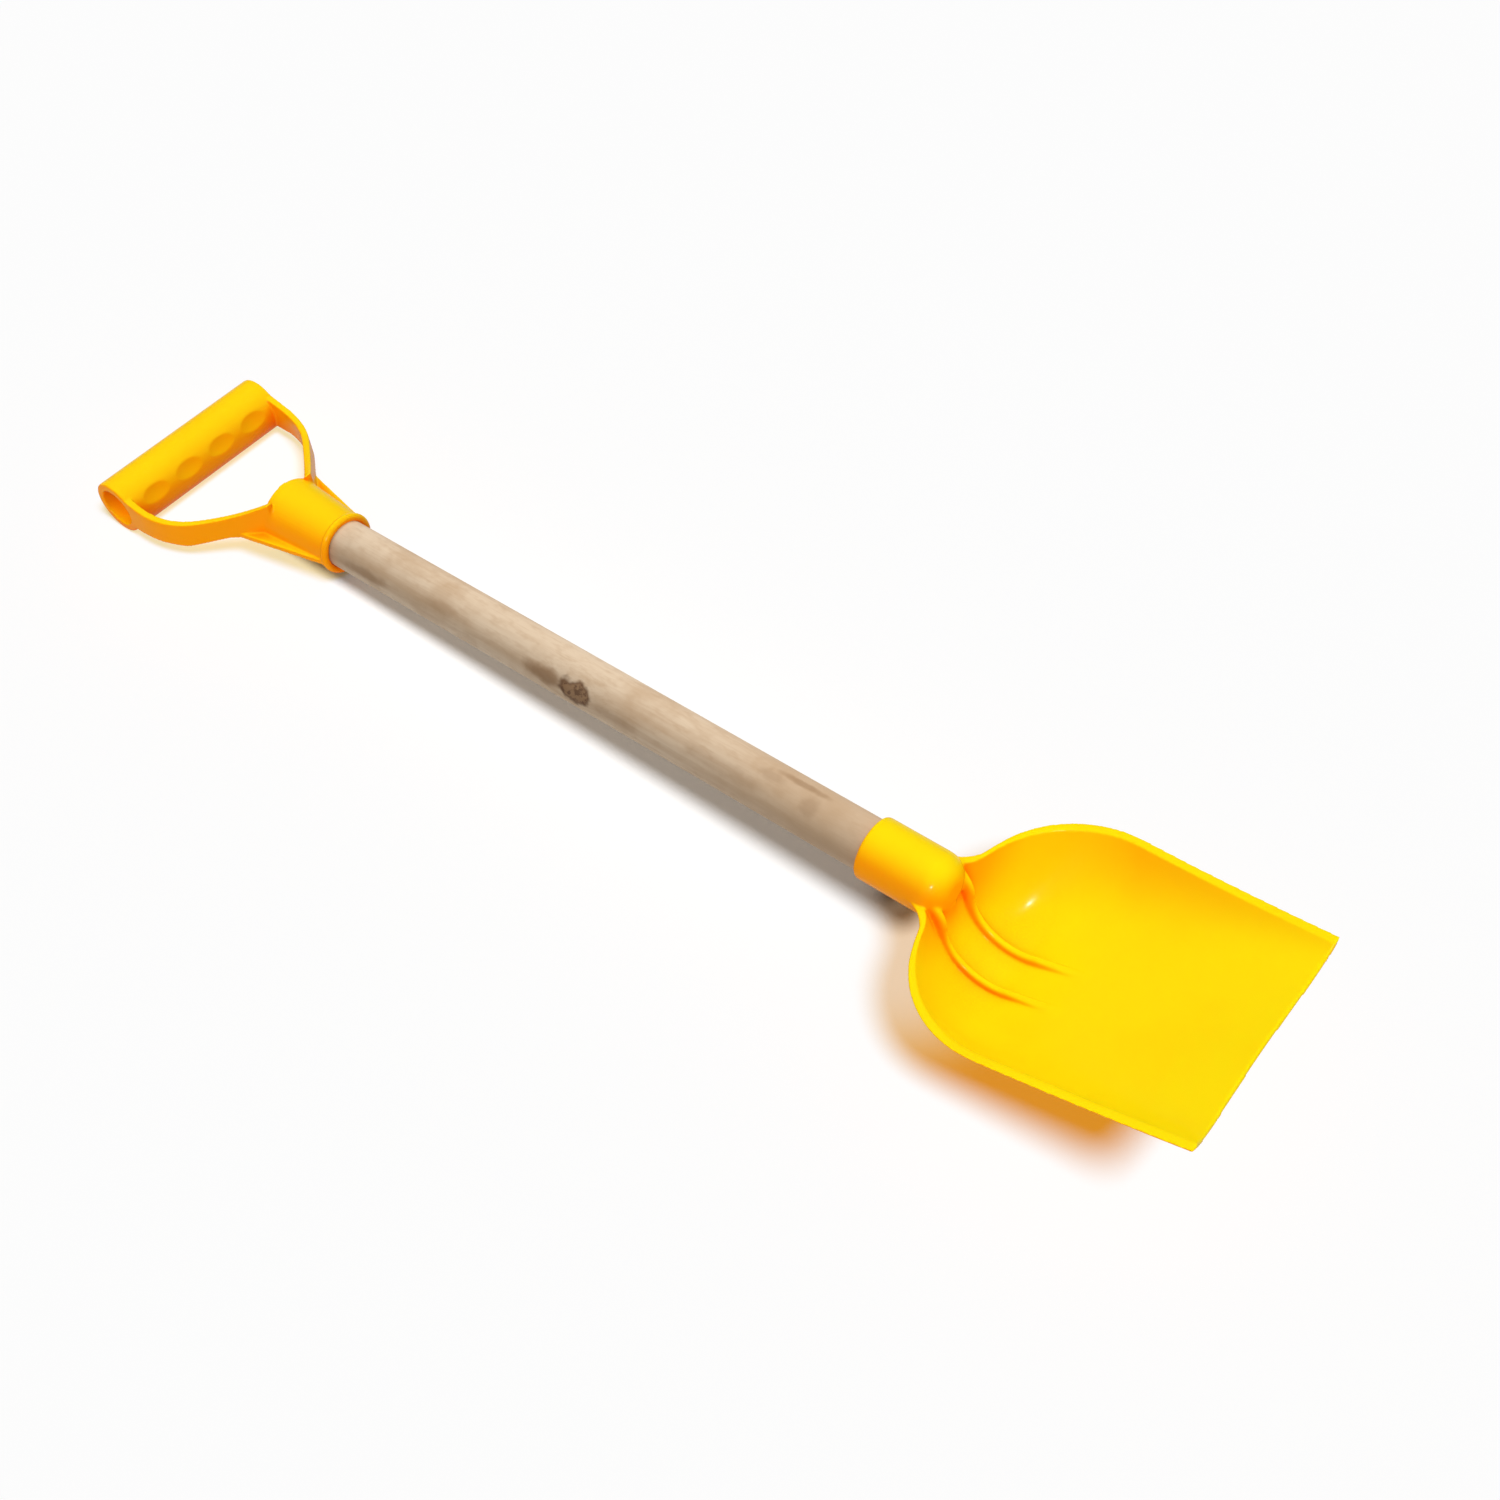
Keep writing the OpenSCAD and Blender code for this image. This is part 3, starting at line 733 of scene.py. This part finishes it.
# Screws
places = (-SCREW_INSET, SHAFT_BARE_L + SCREW_INSET)
screws = build("screw_skins", [screw(x) for x in places], 0.0)
bars = []
for x in places:
    bars.append(build("recess", [recess(x, RECESS_L, RECESS_T)], 0.0))
    bars.append(build("recess", [recess(x, RECESS_T, RECESS_L)], 0.0))
settle(screws, bars)
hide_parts("screws")
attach(screws, "root")

# Handle
soften(nodes["d_handle"], HANDLE_PASSES)

# Materials
# The handle gets an oranger copy of the plastic, as painted shade
paint(nodes["d_handle"], plastic("handle_plastic", HANDLE_YELLOW_PAINTED_SHADE))
paint(blade, plastic("blade_plastic", YELLOW_BLADE))
paint(nodes["shaft"], wood("shaft_wood"))
paint(screws, steel("screw_steel"))

# Floor
bpy.ops.mesh.primitive_plane_add(size=FLOOR_SIZE * MM, location=(0.0, 0.0, 0.0))
ground = bpy.context.object
ground.name = "floor"
paint(ground, floor_paint("floor_paint"))

# World: white to the camera, dim in reflections and no light of its own
world = bpy.data.worlds.new("studio")
world.use_nodes = True
scene.world = world
tree = world.node_tree
path = tree.nodes.new("ShaderNodeLightPath")
mirrored = tree.nodes.new("ShaderNodeMath")
mirrored.operation = "MULTIPLY_ADD"
mirrored.inputs[1].default_value = MIRRORED_SHARE
tree.links.new(path.outputs["Is Glossy Ray"], mirrored.inputs[0])
tree.links.new(path.outputs["Is Camera Ray"], mirrored.inputs[2])
tree.nodes["Background"].inputs["Color"].default_value = WHITE
tree.links.new(mirrored.outputs["Value"], tree.nodes["Background"].inputs["Strength"])

# Lamps, each for one group of pieces
groups = {}
for name, pieces in {
    "plastic": [blade, nodes["d_handle"]],
    "wood": [nodes["shaft"], screws],
    "floor": [ground],
}.items():
    groups[name] = bpy.data.collections.new(name)
    for piece in pieces:
        groups[name].objects.link(piece)
for name, lamp in LAMPS.items():
    lit = bpy.data.objects.new(name, bpy.data.lights.new(name, "SUN"))
    scene.collection.objects.link(lit)
    lit.data.energy = lamp["strength"]
    lit.data.angle = lamp["spread"]
    lit.location = lamp["source"]
    lit.rotation_euler = lamp["source"].to_track_quat("Z", "Y").to_euler()
    sparkles = lamp["source"] == SPARK
    lit.visible_glossy = sparkles
    lit.visible_diffuse = not sparkles
    lit.light_linking.receiver_collection = groups[lamp["on"]]

# Camera
camera = bpy.data.objects.new("camera", bpy.data.cameras.new("camera"))
scene.collection.objects.link(camera)
camera.data.lens = LENS
camera.data.sensor_width = SENSOR
look = (AIM - EYE).to_track_quat("-Z", "Y").to_matrix()
camera.matrix_world = Matrix.Translation(EYE) @ (look @ Matrix.Rotation(CAMERA_ROLL, 3, "Z")).to_4x4()
scene.camera = camera

scene.view_settings.view_transform = "Standard"
